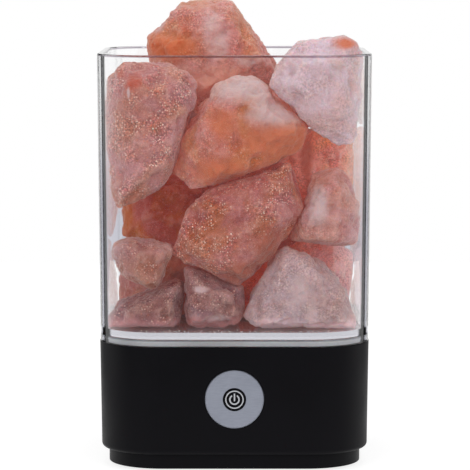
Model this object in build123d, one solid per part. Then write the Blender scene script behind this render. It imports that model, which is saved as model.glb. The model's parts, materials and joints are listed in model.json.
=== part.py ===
from build123d import *
import math
import os

# Overall sizes in millimetres; the front of the lamp faces -Y and it stands on Z = 0
BASE_WIDTH = 100.0
CORNER_RADIUS = 22.5
HOUSING_HEIGHT = 40.05
HOUSING_DRAFT = 0.55
HOUSING_WALL = 2.4
LIP_ROUND = 1.6
TOP_ROUND = 0.4
PLINTH_HEIGHT = 5.5
FOOT_PROUD = 1.0

# Cup
CUP_HEIGHT = 106.25
CUP_WALL = 2.5
CUP_FLOOR = 2.6
CUP_SKIRT = 2.55
SKIRT_ROUND = 0.4
CUP_STEP = 0.2
CUP_DRAFT = 0.9
RIM_ROUND = 0.6
CUP_CLEARANCE = 0.5

# Deck, diffuser and reflector
DECK_THICKNESS = 2.5
RIM_WIDTH = 3.0
DIFFUSER_THICKNESS = 3.0
DIFFUSER_GAP = 0.2
FLANGE_THICKNESS = 1.2
FLANGE_GAP = 0.3
TRAY_DEPTH = 10.0
TRAY_WALL = 1.5
TRAY_RADIUS = 10.0
TRAY_GAP = 0.4

# Cover, cover screws and feet
COVER_PLATE = 2.5
COVER_LIP = 3.0
COVER_WALL = 2.0
COVER_GAP = 0.3
SCREW_INSET = 14.0
BOSS_RADIUS = 3.6
BOSS_FLOOR = 2.5
SCREW_HEAD_RADIUS = 2.3
SCREW_HEAD_HEIGHT = 1.6
SCREW_RADIUS = 1.2
SCREW_LENGTH = 10.0
SCREW_SINK = 0.4
SCREW_CLEARANCE = 0.3
THREAD_GAP = 0.05
FOOT_RADIUS = 6.0
FOOT_RECESS = 0.6
FOOT_INSET = 22.0

# Button and switch
BUTTON_RADIUS = 10.7
BUTTON_LIFT = 0.825
BUTTON_PROUD = 0.4
BUTTON_EDGE = 0.35
BUTTON_GAP = 0.3
BUTTON_TRAVEL = 0.6
SEAT_THICKNESS = 3.1
SEAT_GAP = 0.2
BUTTON_FLANGE = 1.6
BUTTON_FLANGE_THICKNESS = 1.2
GUIDE_WALL = 2.1
GUIDE_LENGTH = 4.6
STEM_RADIUS = 2.0
STEM_LENGTH = 2.6
INLAY_RADIUS = 4.25
INLAY_DEPTH = 0.5
INLAY_GAP = 0.05
MARK_DEPTH = 0.12
MARK_RING_RADIUS = 3.15
MARK_RING_WIDTH = 0.4
MARK_ARC_RADIUS = 1.68
MARK_WIDTH = 0.5
MARK_BAR_LENGTH = 2.8
MARK_BAR_RISE = 0.55
MARK_OPENING = 62.0
SWITCH_SIZE = 6.2
SWITCH_DEPTH = 3.4
PLUNGER_RADIUS = 1.7
PLUNGER_REACH = 1.2
PLUNGER_LENGTH = 2.2
PLUNGER_GAP = 0.3

# Circuit boards and their small screws
BOARD_THICKNESS = 1.6
BOARD_GAP = 1.2
CONTROL_WIDTH = 46.0
BOARD_SCREW_EDGE = 4.0
SMALL_HEAD_RADIUS = 1.9
SMALL_HEAD_HEIGHT = 1.4
SMALL_SCREW_RADIUS = 0.9
SMALL_SCREW_GRIP = 4.0
SMALL_CLEARANCE = 0.2
SMALL_BOSS_RADIUS = 2.9
SMALL_BOSS_HEIGHT = 3.5
PILOT_SPARE = 0.5
CHIP_LENGTH = 6.0
CHIP_WIDTH = 5.0
CHIP_HEIGHT = 1.6
LED_SIZE = 5.0
LED_HEIGHT = 1.6
LED_MARGIN = 10.0
LED_BOARD_MARGIN = 7.5
LED_BOARD_RADIUS = 5.0

# Rear socket and charge board
SOCKET_WIDTH = 8.94
SOCKET_HEIGHT = 3.26
SOCKET_LENGTH = 7.35
SOCKET_SKIN = 0.3
SOCKET_SINK = 0.3
SOCKET_GAP = 0.3
TONGUE_WIDTH = 6.7
TONGUE_THICKNESS = 0.7
TONGUE_SETBACK = 0.7
TONGUE_BLOCK = 2.2
CHARGE_WIDTH = 24.0
CHARGE_LENGTH = 20.0
CHARGE_LIFT = 0.9
CHARGE_SCREW_X = 9.0

# Battery
CELL_RADIUS = 9.2
CELL_LENGTH = 65.0
CELL_OFFSET = 3.0
CELL_GAP = 0.1
NUB_RADIUS = 3.0
NUB_HEIGHT = 1.2
TAB_THICKNESS = 0.3
TAB_WIDTH = 6.0
CRADLE_LENGTH = 52.0
CRADLE_WALL = 1.7
CRADLE_HEIGHT = 8.0
CRADLE_FLOOR = 1.8
RIB_WIDTH = 1.5
RIB_HEIGHT = 3.0
RIB_GAP = 0.2
STRAP_WIDTH = 8.0
STRAP_THICKNESS = 0.85

# Wires
WIRE_RADIUS = 0.7
WIRE_BEND = 1.8
WIRE_OUT = 4.5
WIRE_RISE = 2.6
WIRE_CLIMB = 5.0
BATTERY_WIRE_X = 7.0
SUPPLY_WIRE_X = 10.0
LED_WIRE_X = 3.0
WIRE_SLOT_GAP = 1.1

# Salt
ROCK_WALL_GAP = 0.6
ROCK_BAND = 6.0
ROCK_FACE = 0.68
ROCK_RUFFLE = 0.1
ROCK_DISH = 2.2

# Levels and half-widths that follow from the sizes above
half = BASE_WIDTH / 2
plinth_z = FOOT_PROUD
cover_top = plinth_z + COVER_PLATE
housing_z = plinth_z + PLINTH_HEIGHT
rim_z = housing_z + HOUSING_HEIGHT
diffuser_top = rim_z + CUP_SKIRT - DIFFUSER_GAP
diffuser_z = diffuser_top - DIFFUSER_THICKNESS
flange_z = diffuser_z - FLANGE_THICKNESS
deck_z = flange_z - DECK_THICKNESS
tray_z = flange_z - TRAY_DEPTH
tray_floor = tray_z + TRAY_WALL
cup_floor_z = rim_z + CUP_SKIRT
salt_z = cup_floor_z + CUP_FLOOR
cup_top = rim_z + CUP_HEIGHT
button_z = housing_z + HOUSING_HEIGHT / 2 + BUTTON_LIFT
rebate_half = half - RIM_WIDTH
cup_half = half - CUP_STEP
screw_place = half - SCREW_INSET
tray_half = screw_place - RIM_WIDTH
foot_place = half - FOOT_INSET
cover_half = half - HOUSING_DRAFT - HOUSING_WALL - COVER_GAP


def housing_half(z):
    return half - HOUSING_DRAFT * (rim_z - z) / HOUSING_HEIGHT


def cup_outer_half(z):
    return cup_half + CUP_DRAFT * (z - rim_z) / CUP_HEIGHT


def block(half_width, z0, z1, radius, end_half=None):
    """A rounded-square prism that may widen or narrow towards its upper end."""
    end = half_width if end_half is None else end_half
    face = Plane.XY.offset(z0) * RectangleRounded(2 * half_width, 2 * half_width, radius)
    lean = math.degrees(math.atan2(half_width - end, z1 - z0))
    return extrude(face, z1 - z0, taper=lean)


def box(x0, x1, y0, y1, z0, z1):
    size = Box(x1 - x0, y1 - y0, z1 - z0)
    return Pos((x0 + x1) / 2, (y0 + y1) / 2, (z0 + z1) / 2) * size


def upright(x, y, z0, z1, radius):
    return Pos(x, y, (z0 + z1) / 2) * Cylinder(radius, z1 - z0)


def along_y(x, z, y0, y1, radius):
    return Pos(x, (y0 + y1) / 2, z) * Rot(90, 0, 0) * Cylinder(radius, y1 - y0)


def along_x(y, z, x0, x1, radius):
    return Pos((x0 + x1) / 2, y, z) * Rot(0, 90, 0) * Cylinder(radius, x1 - x0)


def corners(place):
    return [(sx * place, sy * place) for sx in (-1, 1) for sy in (-1, 1)]


def wire(*points):
    path = FilletPolyline(*points, radius=WIRE_BEND)
    return sweep(Plane(path @ 0, z_dir=path % 0) * Circle(WIRE_RADIUS), path=path)


pieces = {}

# Base housing: drafted shell with a deck, a rebate for the diffuser and a guide for the button
housing = block(housing_half(housing_z), housing_z, rim_z, CORNER_RADIUS - HOUSING_DRAFT, half)
housing = fillet(housing.edges().group_by(Axis.Z)[0], LIP_ROUND)
housing = fillet(housing.edges().group_by(Axis.Z)[-1], TOP_ROUND)
housing -= block(
    housing_half(housing_z) - HOUSING_WALL,
    housing_z,
    deck_z,
    CORNER_RADIUS - HOUSING_DRAFT - HOUSING_WALL,
    housing_half(deck_z) - HOUSING_WALL,
)
housing -= block(rebate_half, flange_z, rim_z, CORNER_RADIUS - RIM_WIDTH)
housing -= block(tray_half + TRAY_GAP, deck_z, flange_z, TRAY_RADIUS + TRAY_GAP)

boss_z = cover_top + BOSS_FLOOR
screw_seat = plinth_z + SCREW_SINK + SCREW_HEAD_HEIGHT
screw_tip = screw_seat + SCREW_LENGTH
for x, y in corners(screw_place):
    housing += upright(x, y, boss_z, deck_z, BOSS_RADIUS)
    housing -= upright(x, y, boss_z, screw_tip + PILOT_SPARE, SCREW_RADIUS + THREAD_GAP)

front = -housing_half(button_z)
seat_y = front + SEAT_THICKNESS
guide_end = seat_y + GUIDE_LENGTH
guide_radius = BUTTON_RADIUS + BUTTON_FLANGE + BUTTON_GAP
inside_wall = front + HOUSING_WALL / 2
housing += along_y(0, button_z, inside_wall, guide_end, guide_radius + GUIDE_WALL)
housing -= along_y(0, button_z, seat_y, guide_end, guide_radius)
housing -= along_y(0, button_z, front - HOUSING_WALL, guide_end, BUTTON_RADIUS + BUTTON_GAP)

# Button stack: cap, stem, plunger, switch and the board behind it, in order from the front
cap_front = front - BUTTON_PROUD
flange_y = seat_y + SEAT_GAP
flange_back = flange_y + BUTTON_FLANGE_THICKNESS
stem_end = flange_back + STEM_LENGTH
switch_y = stem_end + PLUNGER_REACH
control_y = switch_y + SWITCH_DEPTH
control_back = control_y + BOARD_THICKNESS

cap = along_y(0, button_z, cap_front, flange_y, BUTTON_RADIUS)
cap = chamfer(cap.edges().group_by(Axis.Y)[0], BUTTON_EDGE)
cap += along_y(0, button_z, flange_y, flange_back, BUTTON_RADIUS + BUTTON_FLANGE)
cap += along_y(0, button_z, flange_back, stem_end, STEM_RADIUS)
inlay_back = cap_front + INLAY_DEPTH
cap -= along_y(0, button_z, cap_front, inlay_back, INLAY_RADIUS + INLAY_GAP)
pieces["power_button"] = cap
pieces["button_inlay"] = along_y(0, button_z, cap_front, inlay_back, INLAY_RADIUS)

mark_plane = Plane((0, cap_front, button_z), x_dir=(1, 0, 0), z_dir=(0, -1, 0))
ring = Circle(MARK_RING_RADIUS + MARK_RING_WIDTH / 2) - Circle(MARK_RING_RADIUS - MARK_RING_WIDTH / 2)
arc = Circle(MARK_ARC_RADIUS + MARK_WIDTH / 2) - Circle(MARK_ARC_RADIUS - MARK_WIDTH / 2)
reach = 2 * MARK_ARC_RADIUS
spread = reach * math.tan(math.radians(MARK_OPENING / 2))
arc -= make_face(Polyline((0, 0), (spread, reach), (-spread, reach), close=True))
bar = Pos(0, MARK_ARC_RADIUS + MARK_BAR_RISE - MARK_BAR_LENGTH / 2) * Rectangle(MARK_WIDTH, MARK_BAR_LENGTH)
pieces["power_symbol"] = [extrude(mark_plane * mark, MARK_DEPTH) for mark in (ring, arc, bar)]

plunger_back = stem_end + PLUNGER_LENGTH
pieces["switch_plunger"] = along_y(0, button_z, stem_end, plunger_back, PLUNGER_RADIUS)
switch_half = SWITCH_SIZE / 2
switch = box(
    -switch_half, switch_half, switch_y, control_y, button_z - switch_half, button_z + switch_half
)
plunger_pocket = plunger_back + BUTTON_TRAVEL + PLUNGER_GAP
switch -= along_y(0, button_z, switch_y, plunger_pocket, PLUNGER_RADIUS + PLUNGER_GAP)
pieces["switch_body"] = switch

# Control board on bosses behind the front wall, with its chip and screws
control_top = deck_z - BOARD_GAP
control_foot = housing_z + COVER_LIP + BOARD_GAP
control_half = CONTROL_WIDTH / 2
control = box(-control_half, control_half, control_y, control_back, control_foot, control_top)
screw_x = control_half - BOARD_SCREW_EDGE
control_screws = []
for x in (-screw_x, screw_x):
    for z in (control_foot + BOARD_SCREW_EDGE, control_top - BOARD_SCREW_EDGE):
        housing += along_y(x, z, inside_wall, control_y, SMALL_BOSS_RADIUS)
        pilot_y = control_y - SMALL_SCREW_GRIP - PILOT_SPARE
        housing -= along_y(x, z, pilot_y, control_y, SMALL_SCREW_RADIUS + THREAD_GAP)
        control -= along_y(x, z, control_y, control_back, SMALL_SCREW_RADIUS + SMALL_CLEARANCE)
        head = along_y(x, z, control_back, control_back + SMALL_HEAD_HEIGHT, SMALL_HEAD_RADIUS)
        shank = along_y(x, z, control_y - SMALL_SCREW_GRIP, control_back, SMALL_SCREW_RADIUS)
        control_screws.append(head + shank)
pieces["control_board"] = control
pieces["control_board_screws"] = control_screws
chip_x = -(SUPPLY_WIRE_X + CHIP_WIDTH)
chip_z = button_z - CHIP_LENGTH
pieces["controller_chip"] = box(
    chip_x - CHIP_WIDTH / 2,
    chip_x + CHIP_WIDTH / 2,
    control_back,
    control_back + CHIP_HEIGHT,
    chip_z - CHIP_LENGTH / 2,
    chip_z + CHIP_LENGTH / 2,
)

# Bottom cover: plinth tray whose wall plugs into the housing, with screw bosses and foot recesses
plinth_radius = CORNER_RADIUS - (half - cover_half) + COVER_WALL / 2
cover = block(cover_half, plinth_z, housing_z + COVER_LIP, plinth_radius)
cover = fillet(cover.edges().group_by(Axis.Z)[0], TOP_ROUND)
cover -= block(cover_half - COVER_WALL, cover_top, housing_z + COVER_LIP, plinth_radius - COVER_WALL)
cover_screws = []
for x, y in corners(screw_place):
    cover += upright(x, y, cover_top, boss_z, BOSS_RADIUS)
    cover -= upright(x, y, plinth_z, boss_z, SCREW_RADIUS + SCREW_CLEARANCE)
    cover -= upright(x, y, plinth_z, screw_seat, SCREW_HEAD_RADIUS + SCREW_CLEARANCE)
    head = upright(x, y, screw_seat - SCREW_HEAD_HEIGHT, screw_seat, SCREW_HEAD_RADIUS)
    shank = upright(x, y, screw_seat, screw_tip, SCREW_RADIUS)
    cover_screws.append(head + shank)
pieces["cover_screws"] = cover_screws

feet = []
for x, y in corners(foot_place):
    cover -= upright(x, y, plinth_z, plinth_z + FOOT_RECESS, FOOT_RADIUS)
    foot = upright(x, y, 0, plinth_z + FOOT_RECESS, FOOT_RADIUS)
    feet.append(fillet(foot.edges().group_by(Axis.Z)[0], FOOT_PROUD / 2))
pieces["rubber_feet"] = feet

# Battery in its cradle between two ribs of the cover, held down by a strap
cell_z = cover_top + CRADLE_FLOOR + CELL_GAP + CELL_RADIUS
cradle_top = cover_top + CRADLE_HEIGHT
cradle_half = CRADLE_LENGTH / 2
cradle_reach = CELL_RADIUS + CELL_GAP + CRADLE_WALL
cradle_y0 = CELL_OFFSET - cradle_reach
cradle_y1 = CELL_OFFSET + cradle_reach
cradle = box(-cradle_half, cradle_half, cradle_y0, cradle_y1, cover_top, cradle_top)
cradle -= along_x(CELL_OFFSET, cell_z, -cradle_half, cradle_half, CELL_RADIUS + CELL_GAP)
pieces["battery_cradle"] = cradle
rib_top = cover_top + RIB_HEIGHT
cover += box(
    -cradle_half, cradle_half, cradle_y0 - RIB_GAP - RIB_WIDTH, cradle_y0 - RIB_GAP, cover_top, rib_top
)
cover += box(
    -cradle_half, cradle_half, cradle_y1 + RIB_GAP, cradle_y1 + RIB_GAP + RIB_WIDTH, cover_top, rib_top
)

cell_end = CELL_LENGTH / 2
nub_end = cell_end + NUB_HEIGHT
cell = along_x(CELL_OFFSET, cell_z, -cell_end, cell_end, CELL_RADIUS)
cell += along_x(CELL_OFFSET, cell_z, cell_end, nub_end, NUB_RADIUS)
pieces["battery_cell"] = cell
tab_y0 = CELL_OFFSET - TAB_WIDTH / 2
tab_y1 = CELL_OFFSET + TAB_WIDTH / 2
tab_z0 = cell_z - TAB_WIDTH / 2
tab_z1 = cell_z + TAB_WIDTH / 2
pieces["battery_tabs"] = [
    box(nub_end, nub_end + TAB_THICKNESS, tab_y0, tab_y1, tab_z0, tab_z1),
    box(-cell_end - TAB_THICKNESS, -cell_end, tab_y0, tab_y1, tab_z0, tab_z1),
]
strap_inner = CELL_RADIUS + CELL_GAP
strap_outer = strap_inner + STRAP_THICKNESS
strap = along_x(CELL_OFFSET, cell_z, -STRAP_WIDTH / 2, STRAP_WIDTH / 2, strap_outer)
strap -= along_x(CELL_OFFSET, cell_z, -STRAP_WIDTH / 2, STRAP_WIDTH / 2, strap_inner)
strap -= box(
    -STRAP_WIDTH, STRAP_WIDTH, CELL_OFFSET - CELL_LENGTH, CELL_OFFSET + CELL_LENGTH, 0, cradle_top
)
pieces["battery_strap"] = strap

# Charge board on posts of the cover, with the socket let into the rear wall
charge_z = housing_z + COVER_LIP + CHARGE_LIFT
charge_top = charge_z + BOARD_THICKNESS
socket_z = charge_top + SOCKET_HEIGHT / 2
rear = housing_half(socket_z)
charge_y1 = rear - HOUSING_WALL - BOARD_GAP
charge_y0 = charge_y1 - CHARGE_LENGTH
charge = box(-CHARGE_WIDTH / 2, CHARGE_WIDTH / 2, charge_y0, charge_y1, charge_z, charge_top)
charge_screw_y = charge_y1 - BOARD_SCREW_EDGE
charge_screws = []
for x in (-CHARGE_SCREW_X, CHARGE_SCREW_X):
    cover += upright(x, charge_screw_y, cover_top, charge_z, SMALL_BOSS_RADIUS)
    pilot_z = charge_z - SMALL_SCREW_GRIP - PILOT_SPARE
    cover -= upright(x, charge_screw_y, pilot_z, charge_z, SMALL_SCREW_RADIUS + THREAD_GAP)
    charge -= upright(x, charge_screw_y, charge_z, charge_top, SMALL_SCREW_RADIUS + SMALL_CLEARANCE)
    head = upright(x, charge_screw_y, charge_top, charge_top + SMALL_HEAD_HEIGHT, SMALL_HEAD_RADIUS)
    shank = upright(x, charge_screw_y, charge_z - SMALL_SCREW_GRIP, charge_top, SMALL_SCREW_RADIUS)
    charge_screws.append(head + shank)
pieces["charge_board"] = charge
pieces["charge_board_screws"] = charge_screws
pieces["bottom_cover"] = cover


def socket_slug(y0, y1, margin):
    """The socket's round-ended section, grown or shrunk by a margin, between two depths."""
    plane = Plane((0, y0, socket_z), x_dir=(1, 0, 0), z_dir=(0, 1, 0))
    length = SOCKET_WIDTH + 2 * margin
    return extrude(plane * SlotOverall(length, SOCKET_HEIGHT + 2 * margin), y1 - y0)


socket_mouth = rear - SOCKET_SINK
socket_back = socket_mouth - SOCKET_LENGTH
housing -= socket_slug(rear - 2 * HOUSING_WALL, rear + HOUSING_WALL, SOCKET_GAP)
shell = socket_slug(socket_back, socket_mouth, 0) - socket_slug(socket_back, socket_mouth, -SOCKET_SKIN)
pieces["socket_shell"] = shell
block_end = socket_back + TONGUE_BLOCK
tongue = socket_slug(socket_back, block_end, -SOCKET_SKIN - THREAD_GAP)
tongue += box(
    -TONGUE_WIDTH / 2,
    TONGUE_WIDTH / 2,
    block_end,
    socket_mouth - TONGUE_SETBACK,
    socket_z - TONGUE_THICKNESS / 2,
    socket_z + TONGUE_THICKNESS / 2,
)
pieces["socket_tongue"] = tongue
pieces["base_housing"] = housing

# Reflector tray hung in the deck by its flange, with the LED board on its floor
flange_half = rebate_half - FLANGE_GAP
tray = block(flange_half, flange_z, diffuser_z, CORNER_RADIUS - RIM_WIDTH - FLANGE_GAP)
tray += block(tray_half, tray_z, flange_z, TRAY_RADIUS)
tray -= block(tray_half - TRAY_WALL, tray_floor, diffuser_z, TRAY_RADIUS - TRAY_WALL)
led_board_half = tray_half - TRAY_WALL - LED_BOARD_MARGIN
led_board_top = tray_floor + BOARD_THICKNESS
led_board = block(led_board_half, tray_floor, led_board_top, LED_BOARD_RADIUS)
led_screws = []
for x, y in corners(led_board_half - BOARD_SCREW_EDGE):
    tray += upright(x, y, tray_z - SMALL_BOSS_HEIGHT, tray_z, SMALL_BOSS_RADIUS)
    pilot_z = tray_floor - SMALL_SCREW_GRIP - PILOT_SPARE
    tray -= upright(x, y, pilot_z, tray_floor, SMALL_SCREW_RADIUS + THREAD_GAP)
    led_board -= upright(x, y, tray_floor, led_board_top, SMALL_SCREW_RADIUS + SMALL_CLEARANCE)
    head = upright(x, y, led_board_top, led_board_top + SMALL_HEAD_HEIGHT, SMALL_HEAD_RADIUS)
    shank = upright(x, y, tray_floor - SMALL_SCREW_GRIP, led_board_top, SMALL_SCREW_RADIUS)
    led_screws.append(head + shank)
pieces["led_board"] = led_board
pieces["led_board_screws"] = led_screws

led_pitch = led_board_half - LED_MARGIN
led_half = LED_SIZE / 2
leds = []
for x in (-led_pitch, 0, led_pitch):
    for y in (-led_pitch, 0, led_pitch):
        led_top = led_board_top + LED_HEIGHT
        leds.append(box(x - led_half, x + led_half, y - led_half, y + led_half, led_board_top, led_top))
pieces["led_chips"] = leds

# Wires, each one straight runs joined by arcs
led_wire_y = -led_board_half - LED_BOARD_MARGIN / 2
wire_slot = 2 * (LED_WIRE_X + WIRE_RADIUS + WIRE_SLOT_GAP)
wire_slot_width = 2 * (WIRE_RADIUS + WIRE_SLOT_GAP)
slot_plane = Plane.XY.offset(tray_z)
tray -= extrude(slot_plane * Pos(0, led_wire_y) * SlotOverall(wire_slot, wire_slot_width), TRAY_WALL)
pieces["reflector_tray"] = tray
led_wire_z = chip_z
led_wire_top = led_board_top + WIRE_RISE
led_wire_end = led_wire_y + LED_BOARD_MARGIN
for x, node in ((LED_WIRE_X, "led_lead_red"), (-LED_WIRE_X, "led_lead_black")):
    pieces[node] = wire(
        (x, control_back, led_wire_z),
        (x, led_wire_y, led_wire_z),
        (x, led_wire_y, led_wire_top),
        (x, led_wire_end, led_wire_top),
        (x, led_wire_end, led_board_top),
    )

battery_wire_y = charge_y0 + BOARD_SCREW_EDGE / 2
supply_y = battery_wire_y + BOARD_SCREW_EDGE
supply_z = cell_z + strap_outer + WIRE_RISE
for x, node in ((SUPPLY_WIRE_X, "supply_lead_red"), (-SUPPLY_WIRE_X, "supply_lead_black")):
    pieces[node] = wire((x, supply_y, charge_top), (x, supply_y, supply_z), (x, control_back, supply_z))

battery_wire_z = cell_z + WIRE_CLIMB
wire_side = nub_end + TAB_THICKNESS + WIRE_OUT
for side, start, node in (
    (1, nub_end + TAB_THICKNESS, "battery_lead_red"),
    (-1, cell_end + TAB_THICKNESS, "battery_lead_black"),
):
    pieces[node] = wire(
        (side * start, CELL_OFFSET, cell_z),
        (side * wire_side, CELL_OFFSET, cell_z),
        (side * wire_side, CELL_OFFSET, battery_wire_z),
        (side * wire_side, battery_wire_y, battery_wire_z),
        (side * BATTERY_WIRE_X, battery_wire_y, battery_wire_z),
        (side * BATTERY_WIRE_X, battery_wire_y, charge_top),
    )

# Diffuser plate, standing proud of the housing so that the cup's skirt fits over it
recess_half = cup_half - CUP_WALL
diffuser_half = recess_half - CUP_CLEARANCE
diffuser = block(diffuser_half, diffuser_z, diffuser_top, CORNER_RADIUS - RIM_WIDTH - CUP_STEP)
diffuser = fillet(diffuser.edges().group_by(Axis.Z)[-1], TOP_ROUND)
pieces["diffuser_plate"] = diffuser

# Clear cup with a thick floor and a short skirt
cup_radius = CORNER_RADIUS - CUP_STEP
cup = block(cup_half, rim_z, cup_top, cup_radius, cup_outer_half(cup_top))
cup -= block(
    cup_outer_half(salt_z) - CUP_WALL,
    salt_z,
    cup_top,
    cup_radius - CUP_WALL,
    cup_outer_half(cup_top) - CUP_WALL,
)
cup = fillet(cup.edges().group_by(Axis.Z)[-1], RIM_ROUND)
cup -= block(recess_half, rim_z, cup_floor_z, cup_radius - CUP_WALL)
cup = fillet(cup.edges().filter_by_position(Axis.Z, cup_floor_z, cup_floor_z), SKIRT_ROUND)
pieces["clear_cup"] = cup

# Space that the salt may fill: the cup's inside as flat-sided walls, open upwards
ceiling = cup_top + CUP_HEIGHT / 2
salt_walls = []
for z in (salt_z, ceiling):
    reach = cup_outer_half(z) - CUP_WALL - ROCK_WALL_GAP
    bend = cup_radius - CUP_WALL
    for step in range(16):
        turn = math.radians(90 * (step // 4) + 30 * (step % 4))
        side_x = 1 if step // 4 in (0, 3) else -1
        side_y = 1 if step // 4 in (0, 1) else -1
        x = side_x * (reach - bend) + bend * math.cos(turn)
        y = side_y * (reach - bend) + bend * math.sin(turn)
        salt_walls.append((x, y, z))
salt_space = ConvexPolyhedron(salt_walls)


# Grid that the rocks are drawn on: 47.3 squares from the middle to the wall, 101.1 from floor to rim
salt_square = (cup_half - CUP_WALL) / 47.3
salt_rise = (cup_top - salt_z) / 101.1


def salt_rock(seed, view, near, far, *outline):
    """A broken lump: a full outline half way through it, smaller ruffled faces at both ends.

    The outline is drawn in X and height for the view "front", in Y and height for the view "side";
    near and far are where the lump begins and ends across that view. All are in squares of the grid.
    """
    near = near * salt_square
    far = far * salt_square
    outline = [(a * salt_square, z * salt_rise) for a, z in outline]
    ca = sum(a for a, z in outline) / len(outline)
    cz = sum(z for a, z in outline) / len(outline)
    middle = (near + far) / 2
    band = min(ROCK_BAND, (far - near) / 4)
    points = []
    for i, (a, z) in enumerate(outline):
        points.append((a, middle - band, z))
        points.append((a, middle + band, z))
        for end, way in ((near, 1), (far, -1)):
            share = ROCK_FACE + ROCK_RUFFLE * math.sin(2.4 * i + seed * way)
            depth = end + way * ROCK_DISH * (1 + math.cos(1.7 * i + seed))
            points.append((ca + share * (a - ca), depth, cz + share * (z - cz)))
    if view == "front":
        placed = [(a, depth, salt_z + z) for a, depth, z in points]
    else:
        placed = [(depth, a, salt_z + z) for a, depth, z in points]
    return ConvexPolyhedron(placed) & salt_space


# Rocks against the front wall, named by where they are seen from the front
pieces["salt_rock_upper_left"] = salt_rock(
    0.4, "front", -46, -12.5,
    (-46.5, 91.5), (-41, 96.8), (-24, 97.6), (-17, 94.2), (-13.4, 88.5), (-15.5, 81.3),
    (-22.8, 58.8), (-29.5, 49.5), (-42, 44.3), (-44.5, 51.5), (-46.5, 67),
)
pieces["salt_rock_upper_middle"] = salt_rock(
    1.9, "front", -44, -14.5,
    (-6.3, 89), (1.4, 92.5), (7.6, 91.7), (16.2, 84.6), (20.8, 80.5), (26.3, 74.3),
    (23.6, 66.8), (14.6, 61), (-4.8, 53.2), (-14.9, 51.8), (-22.3, 57.5), (-17.6, 71.5), (-13, 80),
)
pieces["salt_rock_upper_right"] = salt_rock(
    3.1, "front", -45, -20,
    (20.8, 101), (24, 105), (34, 106), (40, 106.8), (45.5, 104), (47, 100), (46.8, 90),
    (45, 72.5), (42.6, 68), (36.8, 67.3), (27.8, 74.8), (13.6, 89.6), (16, 96),
)
pieces["salt_rock_middle"] = salt_rock(
    4.6, "front", -46, -15,
    (17.7, 61), (20.2, 61), (22.9, 51), (24.6, 45), (22.3, 38.6), (18, 32), (6.4, 20),
    (0.5, 16), (-5.9, 18.7), (-18.7, 24), (-22.7, 27.2), (-17, 43), (-11.4, 49.5), (2.1, 54.7),
)
pieces["salt_rock_right"] = salt_rock(
    5.2, "front", -45, -9,
    (29.4, 55.6), (37.7, 59), (42.4, 55.2), (46.3, 45), (46.8, 36.5), (45.5, 30.3),
    (35.3, 30.1), (22.6, 31.9), (21.3, 33.6), (26.2, 46),
)
pieces["salt_rock_lower_left"] = salt_rock(
    0.9, "front", -45, -21,
    (-45.6, 31), (-37.4, 33), (-23.4, 30.5), (-23.2, 28.5), (-26.5, 19.5), (-28.6, 14.8),
    (-30.7, 14.8), (-38.7, 18.5), (-44.6, 26.2),
)
pieces["salt_rock_floor_left"] = salt_rock(
    2.7, "front", -45, -11,
    (-46, 4), (-42.8, 8.6), (-20, 17.2), (-18.9, 14.6), (-20.2, 6.5), (-21.4, 0), (-46, 0),
)
pieces["salt_rock_floor_middle"] = salt_rock(
    3.8, "front", -44, -14,
    (-17.8, 22), (-7, 17.8), (0.5, 14.6), (2.6, 14.5), (3, 6), (0.6, 0), (-17, 0), (-17.6, 3),
)
pieces["salt_rock_floor_right"] = salt_rock(
    5.9, "front", -46, -16,
    (19.2, 30.4), (25.5, 28), (34.8, 21.3), (40.8, 13.6), (43.8, 3.4), (43, 0), (8, 0),
    (4.1, 4.7), (10, 19.3), (15, 26),
)

# Rocks in the heart of the heap, some of them seen through the gaps
pieces["salt_rock_summit"] = salt_rock(
    1.2, "front", -12, 20,
    (-33.4, 102.5), (-32.8, 106.5), (-24.8, 114), (-20.5, 119.2), (-6.4, 120), (-1.1, 119.5),
    (3.1, 113.6), (8.5, 104.6), (15.3, 97.3), (17.8, 92), (15, 86.5), (2, 78.5), (-14, 77), (-31, 92),
)
pieces["salt_rock_heart_upper"] = salt_rock(
    5.5, "side", -16, 17,
    (-13, 57), (-11.5, 72), (0, 75.5), (14, 74), (18, 68), (13, 64.5), (0, 60),
)
pieces["salt_rock_heart"] = salt_rock(
    4.1, "side", -8, 16,
    (-13.5, 32), (-13, 50), (-11, 54.5), (0, 57.8), (11, 60.5), (17, 50), (17.5, 38), (10, 26.5), (-4, 26),
)
pieces["salt_rock_heart_floor"] = salt_rock(
    4.9, "side", -10.5, 15,
    (-12, 0), (-12.5, 14), (-6, 23), (6, 24), (13, 11), (12, 0),
)
pieces["salt_rock_left_upper"] = salt_rock(
    0.2, "side", -49, -18,
    (-11.5, 56.5), (-12, 72), (-5, 82), (8, 84), (18, 76), (19, 66), (12, 60),
)
pieces["salt_rock_left_middle"] = salt_rock(
    3.4, "side", -43.3, -9.5,
    (-13.5, 26.5), (-16, 38), (-14, 50), (-6, 54.5), (8, 57), (14, 48), (13, 38), (10, 31.5), (0, 29.5),
)
pieces["salt_rock_left_floor"] = salt_rock(
    2.9, "side", -44.5, -12,
    (-9, 0), (-10, 12), (-12, 20), (-9, 23), (4, 28), (17, 18), (19, 4), (18, 0),
)
pieces["salt_rock_right_upper"] = salt_rock(
    1.6, "side", 22, 49,
    (-18.5, 77), (-18, 90), (-4, 97), (13, 93), (18, 80), (10, 72.5),
)
pieces["salt_rock_right_middle"] = salt_rock(
    2.2, "front", -7.5, 20.5,
    (17.5, 36), (17.5, 56), (22, 64), (30, 70), (44, 71), (47, 69), (46.3, 62), (44.6, 51),
    (45, 36), (41, 30.8), (24, 30.8),
)
pieces["salt_rock_right_floor"] = salt_rock(
    5.7, "side", 16.5, 46.4,
    (-15, 0), (-15, 20), (-8, 28), (6, 27), (13, 14), (12, 0),
)

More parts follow.
